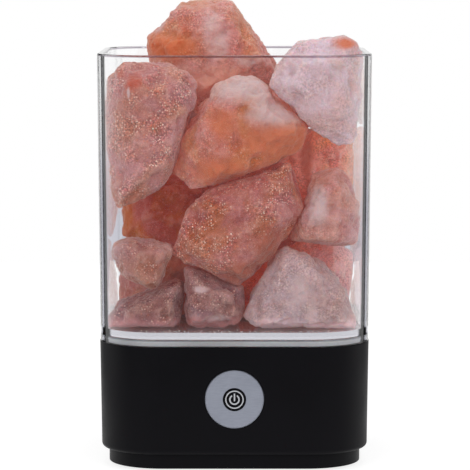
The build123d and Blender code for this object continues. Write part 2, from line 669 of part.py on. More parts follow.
# Rocks against the rear wall
pieces["salt_rock_rear_floor_left"] = salt_rock(
    0.7, "front", 20.5, 46.5,
    (-44, 0), (-45, 12), (-38, 24), (-26, 27), (-12, 17), (-3, 6), (-1, 0),
)
pieces["salt_rock_rear_floor_right"] = salt_rock(
    2.4, "front", 14.5, 46.5,
    (2, 0), (5, 14), (14, 28), (26, 33), (36, 22), (44, 8), (45, 0),
)
pieces["salt_rock_rear_middle"] = salt_rock(
    1.4, "front", 18.5, 46.5,
    (-24, 30), (-10, 21), (3, 13), (11, 28), (16, 42), (11.5, 55), (-12, 58), (-19.5, 50),
)
pieces["salt_rock_rear_left"] = salt_rock(
    3.3, "front", 15, 46,
    (-42.5, 31), (-40, 27.5), (-27, 30), (-22.5, 47), (-17.5, 60.5), (-34, 66), (-46, 60), (-45.5, 40),
)
pieces["salt_rock_rear_right"] = salt_rock(
    4.4, "front", 21.5, 46,
    (17, 45), (27, 36.5), (38, 25.5), (45, 17), (46.5, 36), (45.5, 62), (36, 69.6), (24, 67.4), (9.5, 62.3),
    (13, 56.5),
)
pieces["salt_rock_rear_upper_left"] = salt_rock(
    5.1, "front", 20.5, 46,
    (-46, 73), (-20, 62), (-8, 60.5), (0, 66), (-2, 78), (-14, 88), (-32, 90), (-44, 82),
)
pieces["salt_rock_rear_upper_right"] = salt_rock(
    5.8, "front", 20.5, 46,
    (6, 65.3), (46, 73.8), (46.5, 79), (40, 86), (22, 90), (8, 83), (2, 72),
)

os.makedirs("parts", exist_ok=True)
for node, shape in pieces.items():
    if isinstance(shape, list):
        shape = Compound(children=shape)
    export_step(shape, f"parts/{node}.step")
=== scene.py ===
# %% [markdown]
# # Crystal night light
# A clear cup heaped with broken rock salt stands on a black base with a round silver button.
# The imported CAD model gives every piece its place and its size, so it is loaded first and stays as it is.
# The rest is dressing: stones that look broken rather than cut, and a finish for every surface.

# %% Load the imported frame
import json
import math
import random

import bmesh
import bpy
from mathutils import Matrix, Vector, noise
from mathutils.bvhtree import BVHTree


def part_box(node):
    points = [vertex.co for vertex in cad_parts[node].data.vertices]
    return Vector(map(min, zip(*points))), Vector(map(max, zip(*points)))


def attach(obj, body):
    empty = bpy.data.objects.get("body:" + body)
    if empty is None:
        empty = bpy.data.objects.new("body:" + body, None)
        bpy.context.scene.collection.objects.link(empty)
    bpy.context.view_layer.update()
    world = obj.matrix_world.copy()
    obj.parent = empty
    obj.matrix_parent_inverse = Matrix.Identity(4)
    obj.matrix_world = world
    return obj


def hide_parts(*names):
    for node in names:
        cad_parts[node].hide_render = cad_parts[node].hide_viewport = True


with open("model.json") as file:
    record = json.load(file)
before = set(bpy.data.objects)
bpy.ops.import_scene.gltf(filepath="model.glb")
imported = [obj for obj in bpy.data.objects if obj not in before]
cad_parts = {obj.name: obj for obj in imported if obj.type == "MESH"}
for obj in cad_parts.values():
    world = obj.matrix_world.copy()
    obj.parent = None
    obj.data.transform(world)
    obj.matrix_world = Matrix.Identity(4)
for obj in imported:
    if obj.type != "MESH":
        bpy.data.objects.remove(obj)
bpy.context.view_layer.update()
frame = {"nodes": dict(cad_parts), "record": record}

# %% [markdown]
# ## Camera
# The picture was taken from straight in front with a long lens, looking down by six degrees.
# A long lens keeps the cup's sides nearly parallel. The lens and the place were worked out from the
# cup's and the base's own edges, so the camera needs no aiming by eye.

# %% Camera
CAMERA_PLACE = (0.0, -1.0182, 0.1897)
LOOKING_DOWN = 6.01
LENS, SENSOR = 205.6, 36.0
SIDE_SHIFT = 0.00115

camera = bpy.data.objects.new("studio_camera", bpy.data.cameras.new("studio_camera"))
camera.location = CAMERA_PLACE
camera.rotation_euler = (math.radians(90 - LOOKING_DOWN), 0.0, 0.0)
camera.data.lens = LENS
camera.data.sensor_width = SENSOR
camera.data.shift_x = SIDE_SHIFT
bpy.context.scene.collection.objects.link(camera)
bpy.context.scene.camera = camera
bpy.context.scene.view_settings.view_transform = "Standard"
print("camera:", tuple(round(c, 3) for c in camera.location), camera.data.lens, "mm")

# %% [markdown]
# ## Node helpers
# A finish is a small network of shader nodes. Written out by hand it takes many lines, so a few helpers
# add a node with its sockets filled, do a sum, turn a range of values into a soft step, and mix two
# numbers or two colours.

# %% Node helpers
def put(tree, kind, values=None, **options):
    """Adds a node, sets its options, and fills its sockets with numbers, colours or links."""
    made = tree.nodes.new(kind)
    for option, value in options.items():
        setattr(made, option, value)
    for socket, value in (values or {}).items():
        if isinstance(value, bpy.types.NodeSocket):
            tree.links.new(value, made.inputs[socket])
        else:
            made.inputs[socket].default_value = value
    return made


def calc(tree, operation, a, b=0.0):
    return put(tree, "ShaderNodeMath", {0: a, 1: b}, operation=operation).outputs[0]


def soft_step(tree, value, low, high, start=0.0, end=1.0):
    values = {"Value": value, "From Min": low, "From Max": high, "To Min": start, "To Max": end}
    return put(tree, "ShaderNodeMapRange", values, interpolation_type="SMOOTHSTEP").outputs[0]


def mixed(tree, share, a, b):
    """One number or the other, or a share of both."""
    return put(tree, "ShaderNodeMix", {0: share, 2: a, 3: b}, data_type="FLOAT").outputs[0]


def tinted(tree, share, a, b):
    """One colour or the other, or a share of both."""
    return put(tree, "ShaderNodeMix", {0: share, 6: a, 7: b}, data_type="RGBA").outputs[2]


WHITE = (1.0, 1.0, 1.0, 1.0)
print("helpers: put, calc, soft_step, mixed, tinted")

# %% [markdown]
# ## World
# The lamp is shown on white. The world is plain white to the eye, and softer grey as a light source.
# Clear plastic is drawn by what stands round it: a white backdrop alone leaves its edges invisible, so
# two dark flags stand behind it to the left and right, as they would beside a glass in a real studio.
# What is seen through the cup just below the level of the eye is a little darker and lilac: that is the
# tint of the gaps between the stones. Each pair of numbers says where along an axis an edge starts and ends.

# %% World
FLAG_NEAR, FLAG_FAR = (0.46, 0.53), (0.72, 0.8)
FLAG_FRONT, FLAG_FOOT = (0.0, 0.3), (-0.25, -0.21)
FLAG_DARKNESS = 0.99
CEILING, CEILING_LIGHT = (0.15, 0.5), 0.25
FRONT, FRONT_LIGHT = (-0.6, 0.1), 0.1
AMBIENT = 0.65
DUSK_TOP, DUSK_FOOT = (-0.1, -0.055), (-0.2, -0.16)
DUSK_LIGHT = 0.66
LILAC = (0.9, 0.9, 1.0, 1.0)

world = bpy.data.worlds.new("studio")
bpy.context.scene.world = world
world.use_nodes = True
tree = world.node_tree
tree.nodes.clear()
path = put(tree, "ShaderNodeLightPath").outputs
way = put(tree, "ShaderNodeTexCoord").outputs["Generated"]
axes = put(tree, "ShaderNodeSeparateXYZ", {0: way}).outputs
sideways = calc(tree, "ABSOLUTE", axes["X"])
near_edge = soft_step(tree, sideways, *FLAG_NEAR)
far_edge = soft_step(tree, sideways, *FLAG_FAR, 1.0, 0.0)
aside = calc(tree, "MULTIPLY", near_edge, far_edge)
aside = calc(tree, "MULTIPLY", aside, soft_step(tree, axes["Y"], *FLAG_FRONT))
flag = calc(tree, "MULTIPLY", aside, soft_step(tree, axes["Z"], *FLAG_FOOT))
flags = calc(tree, "SUBTRACT", 1.0, calc(tree, "MULTIPLY", flag, FLAG_DARKNESS))
ceiling = soft_step(tree, axes["Z"], *CEILING, 1.0, CEILING_LIGHT)
backdrop = calc(tree, "MULTIPLY", flags, ceiling)
room_front = soft_step(tree, axes["Y"], *FRONT, FRONT_LIGHT, 1.0)
strength = mixed(tree, path["Is Glossy Ray"], AMBIENT, calc(tree, "MULTIPLY", backdrop, room_front))
below_eye = soft_step(tree, axes["Z"], *DUSK_TOP, 1.0, 0.0)
dusk = calc(tree, "MULTIPLY", below_eye, soft_step(tree, axes["Z"], *DUSK_FOOT))
behind = calc(tree, "MULTIPLY", backdrop, mixed(tree, dusk, 1.0, DUSK_LIGHT))
strength = mixed(tree, path["Is Transmission Ray"], strength, behind)
strength = mixed(tree, path["Is Camera Ray"], strength, 1.0)
lilac = calc(tree, "MULTIPLY", dusk, path["Is Transmission Ray"])
shade = tinted(tree, lilac, WHITE, LILAC)
sky = put(tree, "ShaderNodeBackground", {"Color": shade, "Strength": strength})
put(tree, "ShaderNodeOutputWorld", {"Surface": sky.outputs[0]})
print("world:", len(tree.nodes), "nodes")

# %% [markdown]
# ## Floor
# The floor is a sheet of white paper under the lamp. To the eye it glows a little, so that it runs into
# the white world and only the shadow is left to see. To all other light it is plain paper. It is narrow,
# so that a line of sight which the cup bends aside passes it by and still meets the flags.

# %% Floor
FLOOR_HALF = (0.17, 0.42, 1.0)
FLOOR_BACK = (0.0, 0.2, 0.0)
PAPER = (0.8, 0.8, 0.8, 1.0)
SHADOW_SHARE = (0.3, 0.3, 0.3, 1.0)
PAPER_GLOW = 0.82


def keep(bm, name):
    """Turns a finished bmesh into an object in the scene."""
    mesh = bpy.data.meshes.new(name)
    bm.to_mesh(mesh)
    bm.free()
    made = bpy.data.objects.new(name, mesh)
    bpy.context.scene.collection.objects.link(made)
    return made


bm = bmesh.new()
bmesh.ops.create_grid(bm, x_segments=1, y_segments=1, size=1.0)
bmesh.ops.scale(bm, vec=FLOOR_HALF, verts=bm.verts)
bmesh.ops.translate(bm, vec=FLOOR_BACK, verts=bm.verts)
floor = keep(bm, "studio_floor")
paper = bpy.data.materials.new("studio_paper")
paper.use_nodes = True
tree = paper.node_tree
tree.nodes.clear()
path = put(tree, "ShaderNodeLightPath").outputs
seen = calc(tree, "MAXIMUM", path["Is Camera Ray"], path["Is Glossy Ray"])
seen = calc(tree, "MAXIMUM", seen, path["Is Transmission Ray"])
shade = put(tree, "ShaderNodeBsdfDiffuse", {"Color": SHADOW_SHARE})
glow = put(tree, "ShaderNodeEmission", {"Color": WHITE, "Strength": PAPER_GLOW})
shown = put(tree, "ShaderNodeAddShader", {0: shade.outputs[0], 1: glow.outputs[0]})
plain = put(tree, "ShaderNodeBsdfDiffuse", {"Color": PAPER})
surface = put(tree, "ShaderNodeMixShader", {0: seen, 1: plain.outputs[0], 2: shown.outputs[0]})
put(tree, "ShaderNodeOutputMaterial", {"Surface": surface.outputs[0]})
floor.data.materials.append(paper)
print("floor:", [round(d, 2) for d in floor.dimensions])

# %% [markdown]
# ## Lamps
# Three soft boxes light the lamp: a key from the left, a fill from the right and one from above. The two
# in front stand high enough that the cup's flat sides do not mirror them to the camera.

# %% Lamps
LIT_POINT = (0.0, 0.0, 0.1)


def soft_box(name, place, size, power):
    """A square soft light that faces the middle of the lamp."""
    lamp = bpy.data.lights.new(name, "AREA")
    lamp.shape = "SQUARE"
    lamp.size = size
    lamp.energy = power
    made = bpy.data.objects.new(name, lamp)
    made.location = place
    made.rotation_euler = (Vector(LIT_POINT) - Vector(place)).to_track_quat("-Z", "Y").to_euler()
    bpy.context.scene.collection.objects.link(made)


soft_box("key_light", (-0.75, -1.2, 0.7), size=0.8, power=5.0)
soft_box("fill_light", (0.85, -1.1, 0.65), size=0.8, power=3.8)
soft_box("top_light", (0.0, 0.15, 1.3), size=0.9, power=3.6)

# %% [markdown]
# ## Moulded plastic
# Moulded plastic is never one flat colour: the tool's spark-eroded skin breaks the light up, and the
# gloss wanders a little. The effect is one node group that every moulded finish uses with its own values.

# %% Moulded grain group
SOCKET_KINDS = {"f": "NodeSocketFloat", "c": "NodeSocketColor", "v": "NodeSocketVector"}


def new_group(name, inputs, outputs):
    """An empty node group with named sockets, and its input and output nodes."""
    tree = bpy.data.node_groups.new(name, "ShaderNodeTree")
    for label, kind in inputs:
        tree.interface.new_socket(label, in_out="INPUT", socket_type=SOCKET_KINDS[kind])
    for label, kind in outputs:
        tree.interface.new_socket(label, in_out="OUTPUT", socket_type=SOCKET_KINDS[kind])
    return tree, tree.nodes.new("NodeGroupInput").outputs, tree.nodes.new("NodeGroupOutput")


def give(tree, output, **sockets):
    for label, socket in sockets.items():
        tree.links.new(socket, output.inputs[label])


def clouds(tree, vector, scale, detail=3.0, distortion=0.0):
    values = {"Vector": vector, "Scale": scale, "Detail": detail, "Distortion": distortion}
    return put(tree, "ShaderNodeTexNoise", values).outputs[0]


FINISH_INPUTS = [("Tone", "c"), ("Grain", "f"), ("Smoothest", "f"), ("Roughest", "f")]
FINISH_OUTPUTS = [("Tone", "c"), ("Roughness", "f"), ("Height", "f")]
moulded_grain, given, out = new_group("moulded_grain", FINISH_INPUTS, FINISH_OUTPUTS)
t = moulded_grain
place = put(t, "ShaderNodeTexCoord").outputs["Object"]
broad = clouds(t, place, 45.0)
skin = clouds(t, place, given["Grain"])
depth = soft_step(t, broad, 0.3, 0.7, 0.86, 1.14)
shift = calc(t, "MULTIPLY", depth, soft_step(t, skin, 0.3, 0.7, 0.92, 1.08))
tone = put(t, "ShaderNodeHueSaturation", {"Color": given["Tone"], "Value": shift}).outputs[0]
gloss = calc(t, "MULTIPLY", calc(t, "ADD", broad, skin), 0.5)
gloss = soft_step(t, gloss, 0.35, 0.65)
rough = mixed(t, gloss, given["Smoothest"], given["Roughest"])
give(t, out, Tone=tone, Roughness=rough, Height=skin)
print("group:", moulded_grain.name, len(moulded_grain.nodes), "nodes")

# %% [markdown]
# ## Brushed metal
# Rolled or turned metal has fine lines. They are noise that is drawn out along one axis, and they change
# the tone, the gloss and the height together.

# %% Brushed metal group
brushed_metal, given, out = new_group("brushed_metal", FINISH_INPUTS, FINISH_OUTPUTS)
t = brushed_metal
place = put(t, "ShaderNodeTexCoord").outputs["Object"]
drawn = put(t, "ShaderNodeMapping", {"Vector": place, "Scale": (0.06, 1.0, 1.0)}).outputs[0]
lines = clouds(t, drawn, given["Grain"], 4.0)
cloud = clouds(t, place, 120.0, 2.0)
uneven = calc(t, "ADD", lines, calc(t, "MULTIPLY", cloud, 0.5))
shift = soft_step(t, uneven, 0.5, 1.0, 0.93, 1.07)
tone = put(t, "ShaderNodeHueSaturation", {"Color": given["Tone"], "Value": shift}).outputs[0]
rough = mixed(t, soft_step(t, lines, 0.3, 0.7), given["Smoothest"], given["Roughest"])
give(t, out, Tone=tone, Roughness=rough, Height=lines)
print("group:", brushed_metal.name, len(brushed_metal.nodes), "nodes")

# %% [markdown]
# ## Hard finishes
# Every material slot of the record gets one finish. The values that are the same all over a piece, such
# as how metallic it is, sit straight on the shader; only what changes over the surface comes from a group.
# After its tone, a row gives the fineness of its grain, then its least and its greatest roughness.

# %% Hard finishes
finishes = {}
FINE_RELIEF, RELIEF, COARSE_RELIEF = 0.00001, 0.00003, 0.00008


def hard_finish(slot, group, tone, grain, smoothest, roughest, relief=RELIEF, **fixed):
    """A plastic, rubber or metal finish for one slot of the record."""
    made = bpy.data.materials.new(slot)
    made.use_nodes = True
    tree = made.node_tree
    shader = tree.nodes["Principled BSDF"]
    effect = put(tree, "ShaderNodeGroup", node_tree=group)
    own = {"Tone": (*tone, 1.0), "Grain": grain, "Smoothest": smoothest, "Roughest": roughest}
    for label, value in own.items():
        effect.inputs[label].default_value = value
    raised = {"Height": effect.outputs["Height"], "Strength": 0.5, "Distance": relief}
    bump = put(tree, "ShaderNodeBump", raised)
    tree.links.new(effect.outputs["Tone"], shader.inputs["Base Color"])
    tree.links.new(effect.outputs["Roughness"], shader.inputs["Roughness"])
    tree.links.new(bump.outputs[0], shader.inputs["Normal"])
    for label, value in fixed.items():
        shader.inputs[label.replace("_", " ")].default_value = value
    finishes[slot] = made
    return made


hard_finish("base_black", moulded_grain, (0.0024, 0.0021, 0.0036), 2600.0, 0.4, 0.55,
            Specular_IOR_Level=0.1)
hard_finish("button_silver", brushed_metal, (0.3, 0.32, 0.385), 5200.0, 0.4, 0.5,
            relief=FINE_RELIEF, Metallic=0.35)
hard_finish("inlay_black", moulded_grain, (0.002, 0.002, 0.003), 3500.0, 0.25, 0.35,
            relief=FINE_RELIEF, Specular_IOR_Level=0.1)
hard_finish("symbol_silver", brushed_metal, (0.58, 0.59, 0.62), 6000.0, 0.35, 0.45,
            relief=FINE_RELIEF, Metallic=0.3)
hard_finish("plunger_black", moulded_grain, (0.02, 0.02, 0.02), 3000.0, 0.4, 0.55)
# The diffuser is painted mid grey, darker than its opal white: painted shade for where it is seen through the
# cup's floor and foot.
hard_finish("diffuser_white", moulded_grain, (0.5, 0.49, 0.51), 1800.0, 0.5, 0.65, Subsurface_Weight=0.2)
hard_finish("reflector_white", moulded_grain, (0.82, 0.82, 0.81), 1500.0, 0.25, 0.35)
hard_finish("chip_black", moulded_grain, (0.015, 0.015, 0.016), 5000.0, 0.5, 0.7)
hard_finish("screw_steel", brushed_metal, (0.5, 0.5, 0.52), 4000.0, 0.25, 0.4, Metallic=1.0)
hard_finish("socket_steel", brushed_metal, (0.55, 0.55, 0.56), 4500.0, 0.22, 0.35, Metallic=1.0)
hard_finish("tab_nickel", brushed_metal, (0.55, 0.53, 0.49), 3500.0, 0.3, 0.42, Metallic=1.0)
hard_finish("cell_wrap", moulded_grain, (0.03, 0.12, 0.35), 900.0, 0.2, 0.3)
hard_finish("strap_white", moulded_grain, (0.7, 0.7, 0.68), 2200.0, 0.45, 0.6)
hard_finish("wire_red", moulded_grain, (0.42, 0.02, 0.02), 2500.0, 0.4, 0.55)
hard_finish("wire_black", moulded_grain, (0.015, 0.015, 0.015), 2500.0, 0.4, 0.55)
hard_finish("foot_rubber", moulded_grain, (0.03, 0.03, 0.03), 1400.0, 0.7, 0.9, relief=COARSE_RELIEF)
print("hard finishes:", len(finishes))

# %% [markdown]
# ## Circuit boards and LEDs
# A board shows its copper tracks as paler lines under the coloured lacquer. A brick texture with very thin
# mortar gives straight runs at right angles, which is near enough to how tracks are laid.

# %% Boards and LEDs
BLACK = (0.0, 0.0, 0.0, 1.0)


def board_finish(slot, lacquer, track):
    tree = hard_finish(slot, moulded_grain, lacquer, 3000.0, 0.3, 0.42).node_tree
    shader = tree.nodes["Principled BSDF"]
    place = put(tree, "ShaderNodeTexCoord").outputs["Object"]
    runs = {"Vector": place, "Scale": 160.0, "Mortar Size": 0.03}
    runs.update({"Color1": BLACK, "Color2": BLACK, "Mortar": WHITE})
    tracks = put(tree, "ShaderNodeTexBrick", runs).outputs["Color"]
    under = shader.inputs["Base Color"].links[0].from_socket
    tree.links.new(tinted(tree, tracks, under, (*track, 1.0)), shader.inputs["Base Color"])


board_finish("board_green", (0.02, 0.14, 0.06), (0.06, 0.3, 0.12))
board_finish("board_white", (0.74, 0.75, 0.74), (0.6, 0.6, 0.56))
hard_finish("led_yellow", moulded_grain, (0.78, 0.58, 0.14), 2400.0, 0.25, 0.4)
print("with boards:", len(finishes))

# %% [markdown]
# ## Clear cup
# The cup is polished acrylic. The shader is glass with a little grey in its volume, so that light which
# runs a long way inside a wall comes out darker: that draws the edges. The cut rim is greyer than the
# walls. A thin grey line of painted shade runs round the cup at the height of the top of the diffuser
# plate. Lamps shine through to the salt because the glass lets shadow rays and bounced rays pass straight on.

# %% Clear cup finish
ACRYLIC_IOR, ACRYLIC_GLOSS = 1.47, 0.35
RIM_START, RIM_FULL = 0.0011, 0.0006
SHADE_LINE_DROP, SHADE_LINE_FULL, SHADE_LINE_END = 0.0001, 0.00015, 0.0004
RIM_GREY, SHADE_LINE_GREY = (0.45, 0.4, 0.45, 1.0), (0.4, 0.4, 0.42, 1.0)
WALL_GREY, WALL_DENSITY = (0.8, 0.8, 0.83, 1.0), 25.0
rim_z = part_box("clear_cup")[1][2]
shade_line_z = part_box("diffuser_plate")[1][2] - SHADE_LINE_DROP

cup_finish = bpy.data.materials.new("cup_clear")
cup_finish.use_nodes = True
tree = cup_finish.node_tree
shader = tree.nodes["Principled BSDF"]
shader.inputs["Transmission Weight"].default_value = 1.0
shader.inputs["IOR"].default_value = ACRYLIC_IOR
shader.inputs["Specular IOR Level"].default_value = ACRYLIC_GLOSS
place = put(tree, "ShaderNodeTexCoord").outputs["Object"]
height = put(tree, "ShaderNodeSeparateXYZ", {0: place}).outputs["Z"]
rim = soft_step(tree, height, rim_z - RIM_START, rim_z - RIM_FULL)
from_shade_line = calc(tree, "ABSOLUTE", calc(tree, "SUBTRACT", height, shade_line_z))
# Painted shade: a thin grey line round the cup at the top of the diffuser plate.
shade_line = soft_step(tree, from_shade_line, SHADE_LINE_FULL, SHADE_LINE_END, 1.0, 0.0)
clear_tone = tinted(tree, rim, WHITE, RIM_GREY)
clear_tone = tinted(tree, shade_line, clear_tone, SHADE_LINE_GREY)
tree.links.new(clear_tone, shader.inputs["Base Color"])
handled = clouds(tree, place, 30.0, 4.0)
tree.links.new(soft_step(tree, handled, 0.55, 0.8, 0.0, 0.02), shader.inputs["Roughness"])
path = put(tree, "ShaderNodeLightPath").outputs
passing = calc(tree, "MAXIMUM", path["Is Shadow Ray"], path["Is Diffuse Ray"])
clear = put(tree, "ShaderNodeBsdfTransparent", {"Color": WHITE})
surface = put(tree, "ShaderNodeMixShader", {0: passing, 1: shader.outputs[0], 2: clear.outputs[0]})
grey = put(tree, "ShaderNodeVolumeAbsorption", {"Color": WALL_GREY, "Density": WALL_DENSITY})
output = tree.nodes["Material Output"]
tree.links.new(surface.outputs[0], output.inputs["Surface"])
tree.links.new(grey.outputs[0], output.inputs["Volume"])
finishes["cup_clear"] = cup_finish
print("cup finish:", len(tree.nodes), "nodes")

# %% [markdown]
# ## Rock salt
# Rock salt is cloudy and stained: clear to milky crystal with iron in it, from pale rose to deep orange.
# One group paints it from two tones with clouds and mottling; pale edges, partly frost and partly painted
# light glowing through thin edges; deep hollows of painted shade; a sugary frost whose specks are also
# painted glints; and tiny painted glints. The scales run from clouds as wide as a stone down to grains of
# less than a millimetre.

# %% Salt crystal group
EDGE_FROST_AND_PAINTED_GLOW = (0.8, 0.62, 0.57, 1.0)
# Rime specks: partly real sugary frost, partly painted glints.
RIME_AND_PAINTED_GLINT = (0.86, 0.62, 0.52, 1.0)
EMBER = (0.66, 0.2, 0.08, 1.0)
# Painted glint: near-white specks painted into the colour in place of light caught by tiny facets.
PAINTED_GLINT = (1.0, 0.85, 0.74, 1.0)


def grains(tree, vector, scale, size, low, high):
    """Round specks in some of the cells of a pattern: those whose random number lies above a limit."""
    cells = put(tree, "ShaderNodeTexVoronoi", {"Vector": vector, "Scale": scale})
    pick = put(tree, "ShaderNodeSeparateColor", {0: cells.outputs["Color"]}).outputs[0]
    inside = soft_step(tree, cells.outputs["Distance"], size * 0.5, size, 1.0, 0.0)
    return calc(tree, "MULTIPLY", inside, soft_step(tree, pick, low, high))


salt_crystal, given, out = new_group(
    "salt_crystal",
    [("Pale", "c"), ("Deep", "c"), ("Frost", "f"), ("Glint", "f")],
    FINISH_OUTPUTS,
)
t = salt_crystal
place = put(t, "ShaderNodeTexCoord").outputs["Object"]
edge = put(t, "ShaderNodeAttribute", attribute_name="edge").outputs["Fac"]
large = clouds(t, place, 38.0, 3.0, 0.6)
mottle = clouds(t, place, 130.0, 4.0, 0.2)
grit = clouds(t, place, 560.0, 4.0)
share = calc(t, "ADD", calc(t, "MULTIPLY", large, 0.6), calc(t, "MULTIPLY", mottle, 0.3))
share = calc(t, "ADD", share, calc(t, "MULTIPLY", grit, 0.1))
share = soft_step(t, share, 0.36, 0.64)
tone = tinted(t, share, given["Pale"], given["Deep"])
# Painted shade: the tone deepens in hollows, where shade falls.
tone = tinted(t, soft_step(t, edge, 0.25, 0.48, 0.3, 0.0), tone, given["Deep"])
# Pale edges: partly frost, partly painted light glowing through thin edges.
tone = tinted(t, soft_step(t, edge, 0.54, 0.9, 0.0, 0.14), tone, EDGE_FROST_AND_PAINTED_GLOW)
patch = clouds(t, place, 75.0, 4.0, 0.5)
frost_and_glint_patches = soft_step(t, mottle, 0.42, 0.6, 0.15, 1.0)
frosted = calc(t, "MULTIPLY", frost_and_glint_patches, given["Frost"])
fine = soft_step(t, clouds(t, place, 1500.0, 2.0), 0.3, 0.7, -1.0, 1.0)
speckle = calc(t, "MULTIPLY", fine, calc(t, "ADD", calc(t, "MULTIPLY", frosted, 0.4), 0.06))
shift = {
    "Color": tone,
    "Hue": soft_step(t, patch, 0.35, 0.65, 0.486, 0.512),
    "Saturation": soft_step(t, patch, 0.35, 0.65, 0.94, 1.14),
    "Value": calc(t, "ADD", speckle, 1.0),
}
tone = put(t, "ShaderNodeHueSaturation", shift).outputs[0]
# Frost specks in the colour: partly real frost, partly painted glints standing in for highlights.
rime_and_painted_glint = calc(t, "MULTIPLY", grains(t, place, 1200.0, 0.42, 0.4, 0.7), frosted)
tone = tinted(t, rime_and_painted_glint, tone, RIME_AND_PAINTED_GLINT)
ember = calc(t, "MULTIPLY", grains(t, place, 830.0, 0.4, 0.85, 0.9), given["Glint"])
tone = tinted(t, calc(t, "MULTIPLY", ember, 0.5), tone, EMBER)
# Painted glints: tiny near-white specks in the colour, standing in for highlights.
painted_glint = calc(t, "MULTIPLY", grains(t, place, 850.0, 0.3, 0.86, 0.9), given["Glint"])
tone = tinted(t, calc(t, "MULTIPLY", painted_glint, frost_and_glint_patches), tone, PAINTED_GLINT)
rough = soft_step(t, grit, 0.3, 0.7, 0.3, 0.6)
height = calc(t, "ADD", grit, calc(t, "MULTIPLY", rime_and_painted_glint, 0.3))
height = calc(t, "ADD", height, calc(t, "MULTIPLY", mottle, 1.2))
give(t, out, Tone=tone, Roughness=rough, Height=height)
print("group:", salt_crystal.name, len(salt_crystal.nodes), "nodes")

# %% [markdown]
# ## Blots: stains and painted light and shade
# A blot is a soft patch with a ragged rim: a stain, or a patch of painted light or shade. The group measures
# how far a point lies from the blot's centre and adds noise to that distance before it fades the blot out.
# The stretch multiplies the distance along each axis, so a small number makes the blot long that way.

# %% Salt blot group
salt_stain, given, out = new_group(
    "salt_stain", [("Centre", "v"), ("Stretch", "v"), ("Radius", "f")], [("Mask", "f")]
)
t = salt_stain
place = put(t, "ShaderNodeTexCoord").outputs["Object"]
between = {0: place, 1: given["Centre"]}
apart = put(t, "ShaderNodeVectorMath", between, operation="SUBTRACT").outputs[0]
stretched = {0: apart, 1: given["Stretch"]}
apart = put(t, "ShaderNodeVectorMath", stretched, operation="MULTIPLY").outputs[0]
far = put(t, "ShaderNodeVectorMath", {0: apart}, operation="LENGTH").outputs[1]
far = calc(t, "DIVIDE", far, given["Radius"])
ragged = calc(t, "SUBTRACT", clouds(t, place, 110.0, 6.0, 0.4), 0.5)
ragged = calc(t, "MULTIPLY", ragged, 1.5)
give(t, out, Mask=soft_step(t, calc(t, "ADD", far, ragged), 0.3, 1.35, 0.9, 0.0))
print("group:", salt_stain.name, len(salt_stain.nodes), "nodes")

# %% [markdown]
# ## Salt finish
# A paler and a deeper tone are mixed from the one that is given, and the blots, stains and patches of
# painted light and shade, are laid over them. Light sinks into the crystal and comes out again, so the
# shader scatters it under the surface. More than half of the light for the stones behind goes through,
# warmed to amber on its way. Each kind of salt in the record gets a finish like this.

# %% Salt finish
SALTS = {
    "salt_pale": (0.58, 0.4, 0.41),
    "salt_pink": (0.56, 0.28, 0.25),
    "salt_rose": (0.5, 0.2, 0.17),
    "salt_mauve": (0.4, 0.2, 0.2),
    "salt_orange": (0.6, 0.22, 0.16),
    "salt_amber": (0.62, 0.16, 0.09),
}
SALT_SHADER = {
    "Specular IOR Level": 0.15,
    "Sheen Weight": 0.25,
    "Sheen Tint": (1.0, 0.9, 0.88, 1.0),
    "Subsurface Weight": 0.6,
    "Subsurface Radius": (1.0, 0.4, 0.25),
    "Subsurface Scale": 0.006,
}
LET_THROUGH = 0.6
MM_PER_M = 1000
AMBER = (1.0, 0.54, 0.36, 1.0)


def salt_finish(name, tone, frost=0.3, glint=0.5, stains=()):
    """The finish of one stone; a blot, a stain or a patch of painted light or shade, is its tone, its place
    and radius in millimetres, and its stretch.
    """
    made = bpy.data.materials.new(name)
    made.use_nodes = True
    tree = made.node_tree
    shader = tree.nodes["Principled BSDF"]
    red, green, blue = tone
    pale = (0.85 * red + 0.11, 0.85 * green + 0.08, 0.85 * blue + 0.075, 1.0)
    deep = (0.9 * red, 0.74 * green, 0.64 * blue, 1.0)
    crystal = put(tree, "ShaderNodeGroup", node_tree=salt_crystal)
    for label, value in {"Pale": pale, "Deep": deep, "Frost": frost, "Glint": glint}.items():
        crystal.inputs[label].default_value = value
    shade = crystal.outputs["Tone"]
    for blot_tone, centre, radius, stretch in stains:
        blot = put(tree, "ShaderNodeGroup", node_tree=salt_stain)
        blot.inputs["Centre"].default_value = Vector(centre) / MM_PER_M
        blot.inputs["Stretch"].default_value = stretch
        blot.inputs["Radius"].default_value = radius / MM_PER_M
        shade = tinted(tree, blot.outputs["Mask"], shade, (*blot_tone, 1.0))
    raised = {"Height": crystal.outputs["Height"], "Strength": 0.9, "Distance": 0.0008}
    bump = put(tree, "ShaderNodeBump", raised)
    tree.links.new(shade, shader.inputs["Base Color"])
    tree.links.new(crystal.outputs["Roughness"], shader.inputs["Roughness"])
    tree.links.new(bump.outputs[0], shader.inputs["Normal"])
    for label, value in SALT_SHADER.items():
        shader.inputs[label].default_value = value
    path = put(tree, "ShaderNodeLightPath").outputs
    passing = calc(tree, "MAXIMUM", path["Is Shadow Ray"], path["Is Diffuse Ray"])
    passing = calc(tree, "MULTIPLY", passing, LET_THROUGH)
    amber = put(tree, "ShaderNodeBsdfTransparent", {"Color": AMBER})
    surface = put(tree, "ShaderNodeMixShader", {0: passing, 1: shader.outputs[0], 2: amber.outputs[0]})
    tree.links.new(surface.outputs[0], tree.nodes["Material Output"].inputs["Surface"])
    return made


for kind, tone in SALTS.items():
    finishes[kind] = salt_finish(kind, tone)
print("salt kinds:", len(SALTS))
